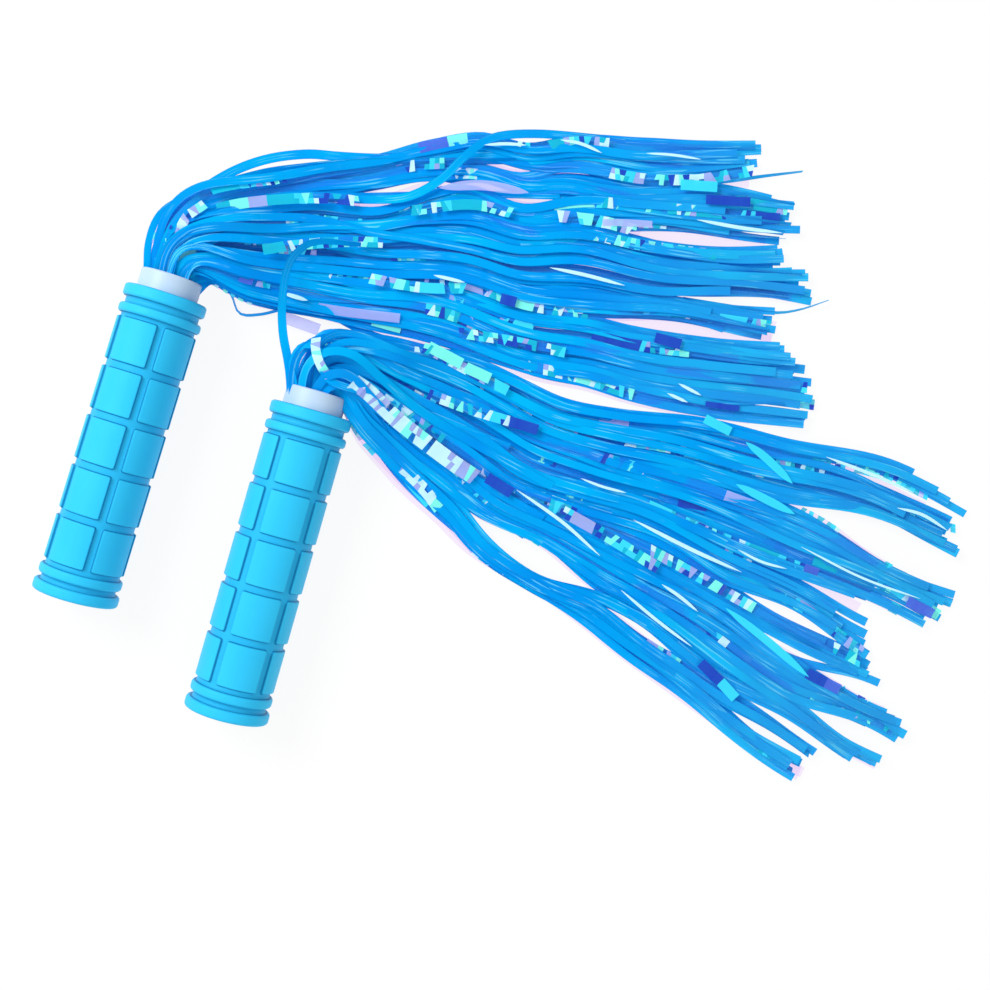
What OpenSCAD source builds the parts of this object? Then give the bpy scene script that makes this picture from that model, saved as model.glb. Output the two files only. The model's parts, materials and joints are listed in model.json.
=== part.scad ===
// A pair of streamer pom poms on hand grips.
// Each pom is a soft rubber handlebar-type grip with a plastic plug in one end.
// A bundle of flat ribbons and film strips is anchored in the plug, folds over its
// collar and fans out flat. Both poms rest on one flat surface.
//
// Row frame: origin at the centre of the bore mouth of grip 1, +Y along grip 1
// towards its streamers, +X the side the streamers lie on, +Z up. Millimetres.
// Each pom is drawn in its own frame of the same kind and then placed.

/* [Grip] */
// Length of the rubber grip
grip_len = 118.6; // [110:0.1:140]
// Diameter over the raised pads
pad_dia = 30; // [29:0.1:30.6]
// Diameter of the flange at the open end
flange_dia = 32; // [31.4:0.1:34]
// Diameter of the rings next to the pads
ring_dia = 31; // [30.8:0.1:31.2]
// Rows of pads along the grip
pad_rows = 5; // [3:1:7]
// Columns of pads round the grip
pad_cols = 5; // [4:1:7]
// Width of the grooves between pads
groove_w = 2.1; // [1.5:0.1:3]
// Depth of the grooves between pads
groove_d = 1.1; // [0.6:0.1:1.3]
// Turn of one lengthwise groove of each grip from its top, in degrees
groove_turn = [21, -23.5];
// Diameter of the bar that the bore takes
bar_dia = 22.2; // [21.8:0.1:22.4]
// Depth of the bar's bore from the open end
bar_depth = 96; // [80:1:96]

/* [Streamer plug] */
// Outside diameter of the collar
collar_dia = 23; // [22.6:0.1:26]
// Length of the collar outside the grip
collar_len = 7.3; // [6:0.1:9]
// Inside diameter of the cup that holds the streamers
cup_dia = 18.8; // [18.6:0.1:19.2]
// Diameter of the pin across the cup
pin_dia = 3; // [2:0.1:3.4]

/* [Streamers] */
// Reach of the streamers beyond the bend at the collar
tassel_len = 240; // [200:1:280]
// Difference between the longest and the shortest streamer
ragged = 26; // [0:1:40]
// Width of a plain ribbon
ribbon_w = 3; // [2:0.1:3.1]
// Width of a film strip
film_w = 4; // [3:0.1:4.6]
// Thickness that stands for a ribbon and the air round it
strand_t = 0.3; // [0.1:0.05:0.5]
// Ribbons side by side in one lock
lanes = 3; // [2:1:3]
// Ribbons on top of each other in one lock
layers = 5; // [3:1:5]
// Direction of the streamers of each pom, in degrees from the pom's own +X
tassel_turn = [13.3, -11.1];
// Half width of each fan where it leaves the neck
root_half = [25, 18];
// Half width of each fan at its tips
tip_half = [52, 63];

/* [Layout of the pair] */
// Bore mouth of grip 2 from grip 1, sideways
pom_2_x = 67.1; // [66:0.1:90]
// Bore mouth of grip 2 from grip 1, along grip 1
pom_2_y = -25.4; // [-40:0.1:-24.6]
// Turn of pom 2 against pom 1, in degrees
pom_2_turn = 1.1; // [-2:0.1:2]

/* [Hidden] */
$fn = 96;
poms = [1, 2];
locks = [1, 2, 3, 4];

// The grip's sections, measured from its open end
flange_len = 4.3;
neck_groove_end = 6.4;
low_ring_end = 10.3;
pads_start = 11.9;
pads_end = grip_len - 12.3;
high_ring_start = grip_len - 11;
high_ring_end = grip_len - 7.3;
top_ring_start = grip_len - 4.8;
core_r = pad_dia / 2 - groove_d;
pad_pitch = (pads_end - pads_start + groove_w) / pad_rows;
edge = 0.6;
bar_r = bar_dia / 2;

// The plug: its stem is a light press fit in the grip's seat bore
seat_r = bar_r - 0.5;
stem_r = seat_r + 0.05;
barb_r = seat_r + 0.3;
stem_start = bar_depth + 2;
cup_r = cup_dia / 2;
cup_floor = stem_start + 3;
mouth_y = grip_len + collar_len;
lip = 0.9;
barb_len = 2.2;
barb_pitch = 5.5;
barb_count = 3;

// Inside the cup
melt_top = cup_floor + 2;
slip = 0.1;
pin_y = cup_floor + 5;
pin_len = 2 * (stem_r - 0.25);
bunch_r = cup_r - 0.5;
bunch_start = melt_top + slip;
bunch_end = mouth_y - 0.6;
waist_r = 6.4;
waist_start = pin_y + 5.2;
waist_end = waist_start + 5.6;
flare = 2.6;
tie_w = 3.5;
tie_r = waist_r + slip;
tie_t = 1.1;
tie_head_w = 4;
tie_head_r = 8.9;

// The bend of the bundle over the collar, then the neck down to the surface
table_z = -flange_dia / 2;
bend_r = 10;
bend_y = mouth_y + 14.4;
foot_r = 8.5;
foot_y = mouth_y + foot_r + 1.5;
neck_mid = [19, 0, -5];
neck_mid_r = 7.5;
neck_end = 36;
neck_end_r = 3.8;
neck_end_z = table_z + 4;

// The fan: each lock is a quarter of it, cut once so that its tip can curl
root_start = 46;
root_end = 131;
tip_start = 141;
rest_gap = 0.3;
layer_pitch = 1.2;
layer_shift = 0.1;
film_rows = 2;
film_cols = 2;
lock_share = 2 / len(locks);

rubber_blue = "#4bb9e8";
collar_white = "#e1dcf0";
ribbon_blue = "#0596ee";
film_mint = "#9be8f4";

// Names of the nodes of one pom, and of both
function lock_names(n) = [
    for (k = locks, kind = ["ribbons_root", "film_root", "ribbons_tip", "film_tip"])
        str(kind, "_", n, "_", k)
];
function pom_names(n) = concat([
    for (kind = ["grip_sleeve", "streamer_plug", "cross_pin", "cable_tie",
                 "hot_melt", "gathered_strands", "neck_bundle"]) str(kind, "_", n)
], lock_names(n));

// Points of an arc, for the profiles
function arc(x, y, r, from, to, steps = 6) = [
    for (i = [0:steps]) let (a = from + (to - from) * i / steps) [x + r * cos(a), y + r * sin(a)]
];

// Half width of the fan of pom n at distance r from the bend
function fan_half(n, r) =
    root_half[n - 1]
    + (tip_half[n - 1] - root_half[n - 1]) * (r - neck_end) / (tassel_len - neck_end);

// A place across the fan: share is 0 to 1 from one side of lock k to the other
function across(n, k, share, r) = (-1 + lock_share * (k - 1 + share)) * fan_half(n, r);

// Share of the lock's width where the middle of lane i of layer j runs
function lane_share(i, j, count, spread) = (i + 0.5 + spread * layer_shift * (j - 2)) / count;

// Where a strand ends, each one a little different
function strand_end(n, k, i, j) =
    tassel_len + ragged * (rands(0, 1, 1, 1000 * n + 100 * k + 10 * i + j)[0] - 0.55);

function layer_z(j) = table_z + rest_gap + j * layer_pitch;

// Lays a profile of [radius, length] points round the grip's axis
module lathe(points) {
    rotate([-90, 0, 0]) rotate_extrude() polygon(points);
}

module place(n) {
    if (n == 1) children();
    else translate([pom_2_x, pom_2_y, 0]) rotate(pom_2_turn) children();
}

// Frame of a fan: origin at the bend, +X along the streamers
module in_fan(n) {
    translate([0, bend_y, 0]) rotate(tassel_turn[n - 1]) children();
}

// A flat strip between two points of the fan, with its lower face at height z
module strip(from, to, width, z) {
    run = to - from;
    translate([(from[0] + to[0]) / 2, (from[1] + to[1]) / 2, z + strand_t / 2])
        rotate(atan2(run[1], run[0]))
            cube([norm(run), width, strand_t], center = true);
}

// A ring of the grip with softened edges, as the outer half of its profile
function ring_points(from, to, r) = concat(
    arc(r - edge, from + edge, edge, -90, 0),
    arc(r - edge, to - edge, edge, 0, 90)
);

module grip_sleeve(n) {
    color(rubber_blue) difference() {
        lathe(concat(
            [[bar_r, 0]],
            ring_points(0, flange_len, flange_dia / 2),
            [[core_r, flange_len], [core_r, neck_groove_end]],
            ring_points(neck_groove_end, low_ring_end, ring_dia / 2),
            [[core_r, low_ring_end], [core_r, pads_start]],
            [for (row = [0:pad_rows - 1]) let (y = pads_start + row * pad_pitch)
                each concat([[core_r, y]],
                            ring_points(y, y + pad_pitch - groove_w, pad_dia / 2),
                            [[core_r, y + pad_pitch - groove_w]])],
            [[core_r, high_ring_start]],
            ring_points(high_ring_start, high_ring_end, ring_dia / 2),
            [[core_r, high_ring_end], [core_r, top_ring_start]],
            ring_points(top_ring_start, grip_len, ring_dia / 2),
            [[seat_r, grip_len], [seat_r, bar_depth], [bar_r, bar_depth]]
        ));
        for (col = [0:pad_cols - 1]) rotate([0, groove_turn[n - 1] + 360 / pad_cols * col, 0])
            translate([-groove_w / 2, pads_start - 0.1, core_r])
                cube([groove_w, pads_end - pads_start + 0.2, 2 * groove_d]);
    }
}

module streamer_plug() {
    color(collar_white) difference() {
        lathe(concat(
            [[0, stem_start], [stem_r - edge, stem_start], [stem_r, stem_start + edge]],
            [for (b = [0:barb_count - 1]) let (y = stem_start + 2 + b * barb_pitch)
                each [[stem_r, y], [barb_r, y + barb_len], [stem_r, y + barb_len]]],
            [[stem_r, grip_len], [collar_dia / 2, grip_len]],
            arc(collar_dia / 2 - lip, mouth_y - lip, lip, 0, 90),
            arc(cup_r + lip / 2, mouth_y - lip / 2, lip / 2, 90, 180),
            [[cup_r, cup_floor], [0, cup_floor]]
        ));
        translate([0, pin_y, 0]) rotate([0, 90, 0])
            cylinder(r = pin_dia / 2 + slip / 5, h = 3 * stem_r, center = true);
    }
}

module cross_pin() {
    color("silver") translate([0, pin_y, 0]) rotate([0, 90, 0])
        cylinder(d = pin_dia, h = pin_len, center = true);
}

module hot_melt() {
    color("ivory") lathe([[0, cup_floor + slip / 2], [cup_r - slip, cup_floor + slip / 2],
                          [cup_r - slip, melt_top - edge], [cup_r / 2, melt_top], [0, melt_top]]);
}

module gathered_strands() {
    color(ribbon_blue) difference() {
        lathe([[0, bunch_start], [bunch_r, bunch_start], [bunch_r, waist_start - flare],
               [waist_r, waist_start], [waist_r, waist_end], [bunch_r, waist_end + flare],
               [bunch_r, bunch_end - lip], [bunch_r - lip, bunch_end], [0, bunch_end]]);
        translate([0, pin_y, 0]) rotate([0, 90, 0])
            cylinder(d = pin_dia + 2 * slip, h = 3 * bunch_r, center = true);
    }
}

module cable_tie() {
    tie_start = (waist_start + waist_end - tie_w) / 2;
    color("white") {
        lathe([[tie_r, tie_start], [tie_r + tie_t, tie_start],
               [tie_r + tie_t, tie_start + tie_w], [tie_r, tie_start + tie_w]]);
        translate([-tie_head_w / 2, tie_start, tie_r + tie_t / 2])
            cube([tie_head_w, tie_w, tie_head_r - tie_r - tie_t / 2]);
    }
}

module neck_bundle(n) {
    reach = root_half[n - 1] - neck_end_r;
    color(ribbon_blue) {
        translate([0, foot_y, 0]) rotate([90, 0, 0]) sphere(r = foot_r, $fn = 32);
        in_fan(n) {
            hull() {
                sphere(r = bend_r, $fn = 32);
                translate(neck_mid) sphere(r = neck_mid_r, $fn = 32);
            }
            hull() {
                translate(neck_mid) sphere(r = neck_mid_r, $fn = 32);
                for (side = [-1, 1]) translate([neck_end, side * reach, neck_end_z])
                    sphere(r = neck_end_r, $fn = 32);
            }
        }
    }
}

// The ribbons of one lock between two distances from the bend
module ribbons(n, k, tip) {
    color(ribbon_blue) in_fan(n)
        for (i = [0:lanes - 1], j = [0:layers - 1]) {
            from = tip ? tip_start : root_start;
            to = tip ? strand_end(n, k, i, j) : root_end;
            start_share = lane_share(i, j, lanes, tip ? 1 : 0);
            end_share = lane_share(i, j, lanes, 1);
            strip([from, across(n, k, start_share, from)], [to, across(n, k, end_share, to)],
                  ribbon_w, layer_z(j));
        }
}

// The film strips of one lock lie on top of its ribbons
module film(n, k, tip) {
    color(film_mint) in_fan(n)
        for (i = [0:film_cols - 1], j = [0:film_rows - 1]) {
            from = tip ? tip_start : root_start;
            to = tip ? strand_end(n, k, i, layers + j) : root_end;
            share = lane_share(i, 2, film_cols, 0);
            strip([from, across(n, k, share, from)], [to, across(n, k, share, to)],
                  film_w, layer_z(layers + j));
        }
}

for (n = poms) place(n) {
    grip_sleeve(n);
    streamer_plug();
    cross_pin();
    cable_tie();
    hot_melt();
    gathered_strands();
    neck_bundle(n);
    for (k = locks) {
        ribbons(n, k, false);
        ribbons(n, k, true);
        film(n, k, false);
        film(n, k, true);
    }
}
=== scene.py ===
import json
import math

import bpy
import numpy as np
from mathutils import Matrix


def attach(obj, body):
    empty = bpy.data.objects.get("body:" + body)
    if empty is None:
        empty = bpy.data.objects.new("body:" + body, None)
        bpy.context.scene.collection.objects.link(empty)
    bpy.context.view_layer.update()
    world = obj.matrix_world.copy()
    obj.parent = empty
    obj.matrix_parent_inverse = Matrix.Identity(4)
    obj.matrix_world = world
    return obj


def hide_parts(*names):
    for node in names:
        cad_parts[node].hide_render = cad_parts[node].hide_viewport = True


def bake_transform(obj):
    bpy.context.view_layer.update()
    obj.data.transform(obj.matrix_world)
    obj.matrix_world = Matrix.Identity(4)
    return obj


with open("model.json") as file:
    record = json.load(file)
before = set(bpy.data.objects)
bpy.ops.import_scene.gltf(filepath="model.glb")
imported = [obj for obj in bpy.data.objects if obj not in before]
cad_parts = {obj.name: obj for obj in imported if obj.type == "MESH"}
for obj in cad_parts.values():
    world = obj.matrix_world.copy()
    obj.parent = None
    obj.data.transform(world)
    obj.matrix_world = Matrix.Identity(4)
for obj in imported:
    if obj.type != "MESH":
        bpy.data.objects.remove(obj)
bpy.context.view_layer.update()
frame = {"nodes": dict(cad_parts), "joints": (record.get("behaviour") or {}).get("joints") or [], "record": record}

# A pair of streamer pom poms on rubber hand grips, laid flat.
#
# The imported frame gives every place: where each grip lies, where its streamers bend over the
# collar, which way the fan runs and where its joints are. This script adds the moulded grips,
# every ribbon and film strip as its own thin closed strip, the materials, the light and the
# camera. Lengths are in millimetres until a mesh is made.

MM = 0.001
UP = np.array([0.0, 0.0, 1.0])
SEED = 4021
POMS = (1, 2)
LOCKS = (1, 2, 3, 4)

# --- The grip, measured from its open end -------------------------------------------------------
FLANGE = (0.0, 4.3)
LOW_RING = (6.4, 10.3)
PADS = (11.9, 106.3)
HIGH_RING = (107.6, 111.3)
TOP_RING = (113.8, 118.6)
FLANGE_R = 16.0
RING_R = 15.5
PAD_R = 15.0
CORE_R = 13.9
BORE_R = 11.1
SEAT_R = 10.6
BORE_DEPTH = 96.0
PAD_ROWS = 5
PAD_COLS = 5
GROOVE_W = 2.1
RING_EDGE = 1.25
PAD_EDGE = 0.65
PAD_CORNER = 1.2
SEAT_CHAMFER = 0.3
MOUTH_CHAMFER = 0.6
# Where the mesh has stations: from an edge into its ring or pad, and from a groove's side
EDGE_STEPS = (-0.02, 0.0, 0.06, 0.2, 0.4, 0.6, 0.8, 1.0, 1.25, 1.6)
GROOVE_STEPS = (0.0, 0.12, 0.3, 0.5, 0.75, 1.1)
PAD_STATIONS = 9
# Where one lengthwise groove runs, in degrees from straight up towards the streamers
GROOVE_TURN = {1: 21.0, 2: -23.5}

# --- The plug's cup -----------------------------------------------------------------------------
# Strands start at its low end, pass the tied waist, and spread to CUP_REACH at its mouth
CUP_LOW = 107.0
WAIST_END = 115.5
CUP_FULL = 120.0
CUP_MOUTH = 126.0
WAIST_SCALE = 0.62
CUP_REACH = 8.2

# --- The fan: edges across it at distances from the bend, for each pom --------------------------
# Where the strands leave the neck, and where the meshes change from the middle to the tips
FAN_START = 27.0
MID_END = 86.0
# The fan's upper and lower edges: distance from the bend, place across
FAN_UPPER = {
    1: ((27, 27), (48, 34), (70, 39), (89, 46.5), (108, 51), (127, 48), (144, 52), (170, 52),
        (193, 52.5), (245, 56)),
    2: ((27, 18), (52, 24), (69, 25), (87, 26), (109, 32), (138, 43), (169, 51), (206, 60),
        (228, 61), (265, 62)),
}
FAN_LOWER = {
    1: ((27, -20), (43, -22.5), (71, -27), (90, -29.5), (102, -32), (113, -35.5), (137, -42),
        (156, -44.5), (170, -47.5), (200, -51), (245, -54.5)),
    2: ((27, -23), (46, -30.5), (65, -36), (81, -41.5), (105, -43.5), (133, -46.5), (166, -52.5),
        (201, -60), (235, -63), (265, -63)),
}
# How far the tips reach, at shares of the fan from its lower edge (-1) to its upper edge (1)
REACH = {
    1: ((-1, 243), (-0.62, 238), (-0.48, 233), (-0.38, 225), (-0.2, 226), (-0.12, 237), (0.05, 236),
        (0.2, 226), (0.32, 228), (0.55, 229), (0.66, 226), (0.75, 208), (0.9, 214), (1, 219)),
    2: ((-1, 233), (-0.84, 232), (-0.78, 227), (-0.72, 256), (-0.5, 261), (-0.35, 259),
        (-0.29, 240), (-0.13, 236), (0.1, 228), (0.15, 249), (0.54, 255), (0.6, 241),
        (0.84, 245), (0.96, 240), (1, 214)),
}
# Partings that open between strands: share of the fan, start, widest place, end, opening
PARTINGS = {
    1: ((0.52, 42, 75, 110, 9.0), (0.5, 90, 122, 162, 6.0), (0.73, 92, 122, 142, 4.0),
        (0.68, 188, 240, 300, 15.0), (0.28, 145, 190, 240, 8.0), (-0.17, 175, 212, 262, 7.0),
        (-0.42, 145, 190, 235, 7.0)),
    2: ((-0.7, 66, 104, 138, 14.0), (-0.79, 130, 155, 180, 4.0), (-0.27, 80, 108, 140, 3.0),
        (0.88, 165, 215, 270, 6.0), (0.56, 175, 226, 340, 19.0), (0.12, 182, 234, 300, 9.0),
        (-0.13, 166, 200, 236, 7.0), (-0.3, 165, 203, 240, 5.0), (-0.31, 205, 242, 290, 9.0),
        (-0.58, 212, 245, 300, 10.0), (-0.75, 185, 226, 280, 7.0), (-0.85, 180, 215, 262, 5.0)),
}
# Broad waves that neighbouring strands share: size, length, turns across the fan
DRIFTS = ((0.6, 140.0, 1.3), (0.5, 85.0, -2.1), (0.3, 60.0, 3.2))
DRIFT_PHASE = 2.1
DRIFT_FROM = 30.0
DRIFT_OVER = 60.0
# How strands differ from each other. A share is of all strands, and a pair is a lowest and a
# highest value: lengths in millimetres, angles in degrees.
ORDER_SPREAD = 0.15
SLIDE_SPREAD = 0.06
STRAY_SHARE = 0.18
STRAY_TIMES = 3
REACH_SPREAD = 2.0
SHORT_SHARE = 0.28
SHORT_BY = (4, 26)
SETTLE_FROM = 30.0
SETTLE_OVER = (35, 95)
SIDE_WAVE = (0.2, 1.1)
SIDE_WAVE_LENGTH = (70, 160)
UP_WAVE = (0.1, 0.5)
UP_WAVE_LENGTH = (28, 60)
ROLL_WAVE = (2, 13)
ROLL_WAVE_LENGTH = (50, 130)
NECK_ROLL = 30.0
ROLLED_SHARE = 0.16
TIP_ROLL = (30, 85)
TIP_ROLL_OVER = 45.0
CURL = (0.01, 0.09)

# --- Strands ------------------------------------------------------------------------------------
RIBBONS_PER_LOCK = 23
FILMS_PER_LOCK = 4
# Shares of the fan where a wide clear film lies under the ribbons
CLEAR_AT = {1: (0.72, 0.52, 0.42, 0.27, -0.42, -0.97), 2: (-0.97, 0.1, 0.85)}
RIBBON_W = 3.3
FILM_W = 4.2
CLEAR_W = 6.5
STRAND_T = 0.12
# A strand's cross section bows up by its curl times this at the middle, and down at the sides
BOW_MIDDLE = 0.66
SHARP_ANGLE = math.radians(40)
# Spacing of a strand's stations up to a distance from the bend, and past it
RIBBON_STEP = (2.1, 3.4)
FILM_STEP = (1.7, 1.9)
STEP_CHANGE = 45.0
# The table, and the height of the pile of strands over it at the tips and at the neck
TABLE_Z = -16.0
PILE_TIP = 4.4
PILE_NECK = 12.5
PILE_FALL = 22.0
PILE_GAP = 0.3
FLOOR_GAP = 0.1
# How far from a parting its strands still move aside
PARTING_FADE = 6.5
# Share of each pom's strands that leave the cup out of order, and how they loop over it
TANGLE = {1: 0.25, 2: 0.5}

# Values of a film facet, by what it shows
CLEAR = 0.05
LILAC = 0.17
WHITE = 0.33
MINT = 0.5
CYAN = 0.65
TEAL = 0.78
NAVY = 0.88
VIOLET = 0.96

# Single strands seen apart from the rest: pom, frame, lock, share of a full ribbon's width, roll
# in degrees at the start and the end, and points. In the grip's frame a point is (side, along,
# height over the table), and in the fan's frame it is (reach, across, height over the table).
LOOSE = (
    (1, "grip", 4, 0.8, (20, 0), ((-6, 116, 20), (-9, 127, 21), (-11, 134, 20), (-11.5, 142, 19),
                                  (-10, 148, 18), (-6, 153, 17), (0, 154, 16), (12, 158, 14),
                                  (30, 168, 11), (60, 178, 6), (95, 190, 4), (130, 200, 3))),
    (1, "grip", 4, 1.1, (0, 0), ((-6, 116, 18), (-7, 128, 20), (-6.5, 142, 21), (-0.5, 156, 19),
                                 (8.5, 169, 15), (19.5, 179, 11), (33, 186, 8), (46, 189.5, 6),
                                 (62, 194, 5), (90, 204, 4), (130, 216, 3))),
    (1, "grip", 4, 0.9, (0, 55), ((-4, 116, 20), (-5, 130, 22), (-3, 146, 22), (5, 161, 18),
                                  (19, 173, 12), (34, 181, 9), (50, 188, 7), (75, 197, 4),
                                  (110, 208, 3))),
    (1, "grip", 3, 1.0, (10, 30), ((40, 172, 5), (62, 177, 7), (75, 182, 8), (85, 192, 8),
                                   (91, 203, 8), (99, 213, 7), (115, 220, 5), (140, 226, 3))),
    (1, "grip", 1, 0.5, (60, 60), ((5, 118, 16), (9, 127, 12), (14, 129, 8), (20, 127, 4),
                                   (25, 121, 2), (33, 123, 2), (44, 129, 3), (62, 136, 4))),
    (1, "grip", 1, 1.0, (30, 0), ((7, 117, 14), (10.5, 124, 15), (13, 129, 12), (19, 131, 8),
                                  (28, 129, 5), (42, 131, 4), (65, 139, 4))),
    (1, "grip", 1, 0.9, (0, 20), ((6, 117, 20), (9, 127, 17), (20, 131, 10), (34, 130, 6),
                                  (52, 132, 3), (75, 128, 2), (100, 129, 3), (130, 134, 3))),
    (1, "fan", 4, 0.5, (10, 80), ((186, 36, 3), (203, 38, 3), (218, 41, 3), (233, 44, 2))),
    (1, "fan", 2, 0.5, (10, 85), ((190, -8, 2), (212, -10, 2), (226, -11, 2), (236, -9, 2),
                                  (246, -5, 3))),
    (2, "grip", 4, 1.0, (0, 70), ((-7, 117, 20), (-10, 127, 22), (-13, 134, 22), (-17, 142, 22),
                                  (-20, 150, 21), (-22, 158, 20), (-23, 165, 19), (-22, 173, 17),
                                  (-16, 180, 15), (0, 184, 12))),
    (2, "grip", 4, 1.0, (30, 0), ((-6, 117, 21), (-9, 128, 24), (-9, 137, 25), (-4, 144, 24),
                                  (5, 147, 22), (17, 146, 19), (30, 142, 12), (50, 140, 8),
                                  (80, 138, 5), (120, 131, 4))),
    (2, "grip", 4, 1.1, (-30, 0), ((-2, 117, 22), (-5, 127, 25), (-4, 135, 27), (2, 141, 27),
                                   (11, 142, 25), (22, 137, 20), (38, 130, 12), (60, 124, 7),
                                   (95, 116, 5))),
    (2, "grip", 3, 1.1, (25, 0), ((1, 117, 22), (1, 127, 26), (5, 133, 28), (12, 134, 26),
                                  (22, 128, 20), (36, 120, 12), (60, 112, 7), (95, 103, 5))),
    (2, "grip", 4, 0.9, (-45, 20), ((-5, 116, 20), (-8, 126, 23), (-11, 133, 24), (-9, 140, 25),
                                    (-3, 141, 26), (0, 136, 27), (4, 131, 27), (12, 130, 25),
                                    (26, 131, 16), (45, 129, 9), (75, 126, 5))),
    (2, "grip", 1, 1.0, (20, 0), ((6, 117, 16), (10, 124, 17), (13.5, 125, 14), (20, 118, 9),
                                  (29, 110, 6), (42, 101, 4), (62, 91, 3), (90, 80, 3))),
    (2, "grip", 3, 1.0, (0, 15), ((3, 117, 22), (4, 127, 25), (10, 130, 25), (20, 124, 18),
                                  (34, 114, 11), (55, 106, 7), (90, 95, 4))),
)
# Film strips that are crinkled all along where they show: pom, lock, width, whether pale, and
# points in the fan's frame
CRINKLED = (
    (1, 3, 4.0, False, ((12, 12, 18), (22, 15, 17), (36, 18, 14), (52, 20, 11), (64, 20, 9))),
    (1, 3, 4.0, False, ((84, 18, 8), (106, 22, 7), (122, 20, 6))),
    (1, 3, 4.5, False, ((140, 20, 6), (156, 19, 6), (172, 16, 6))),
    (1, 2, 4.0, False, ((30, -2, 17), (42, 1, 14), (60, 4, 11), (74, 5, 9))),
    (1, 2, 4.0, False, ((70, -9, 9), (89, -11, 8), (106, -10, 6))),
    (1, 1, 4.0, False, ((105, -27, 6), (126, -29, 6), (146, -32, 6))),
    (1, 3, 3.6, True, ((-1, -6, 22), (0, 1, 23), (2, 7, 23), (8, 13, 21))),
    (2, 3, 3.4, True, ((-5, 3, 27), (-3, -1, 28), (1, -5, 28), (6, -8, 27))),
    (2, 2, 6.2, True, ((14, -5, 25), (21, -6, 22), (34, -10, 16), (49, -13, 13), (61, -15, 11),
                       (70, -16, 9))),
    (2, 1, 4.5, True, ((22, -19, 14), (35, -23, 11), (43, -25, 9), (55, -29, 8), (63, -33, 6))),
    (2, 2, 4.5, False, ((98, -12, 7), (123, -13, 6), (148, -15, 6))),
    (2, 4, 4.0, False, ((26, 17, 16), (33, 19, 14), (48, 19, 11), (66, 19, 9))),
    (2, 3, 4.0, False, ((40, 4, 14), (56, 6, 11), (72, 9, 9))),
)
# Single flats of film: pom, lock, width, what it shows, and points in the fan's frame
FLATS = (
    (2, 2, 4.2, NAVY, ((74, -14, 9), (85, -15, 8))),
    (2, 2, 4.2, NAVY, ((217, -25, 6), (225, -25, 6))),
    (2, 2, 4.0, VIOLET, ((225, -25, 6), (231, -25, 6))),
    (2, 1, 4.0, NAVY, ((179, -40, 6), (189, -43, 6))),
    (2, 1, 4.0, CYAN, ((189, -43, 6), (197, -46, 6))),
    (2, 3, 4.0, VIOLET, ((239, 17, 5), (250, 17, 5))),
    (2, 1, 4.0, CYAN, ((47, -28, 8), (59, -33, 6))),
    (2, 4, 4.2, MINT, ((32, 20, 14), (46, 20, 12))),
    (2, 4, 4.2, MINT, ((48, 19.5, 11.5), (58, 20, 10))),
    (2, 4, 4.0, NAVY, ((72, 9, 9), (83, 11, 8))),
    (2, 4, 3.6, CYAN, ((138, 44, 6), (149, 44, 6))),
    (1, 3, 3.6, NAVY, ((196, 30, 6), (213, 30, 6))),
    (1, 4, 4.0, CYAN, ((186, 35, 6), (200, 35, 6))),
    (1, 2, 4.0, NAVY, ((180, -24, 6), (190, -26, 6))),
    (1, 1, 2.2, NAVY, ((201, -48, 5), (214, -49, 5))),
    (1, 2, 4.0, NAVY, ((120, -13, 6.5), (126, -14, 6))),
    (1, 1, 3.6, LILAC, ((50, -21, 7), (62, -22, 6.5), (72, -22.5, 6.5), (82, -23, 6))),
    (1, 1, 4.6, LILAC, ((37, -25, 2.5), (44, -27, 2.5), (51, -29, 2.5))),
    (1, 3, 2.6, LILAC, ((157, 18.5, 6.5), (166, 19, 6.5), (176, 19, 6.5))),
)
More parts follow.
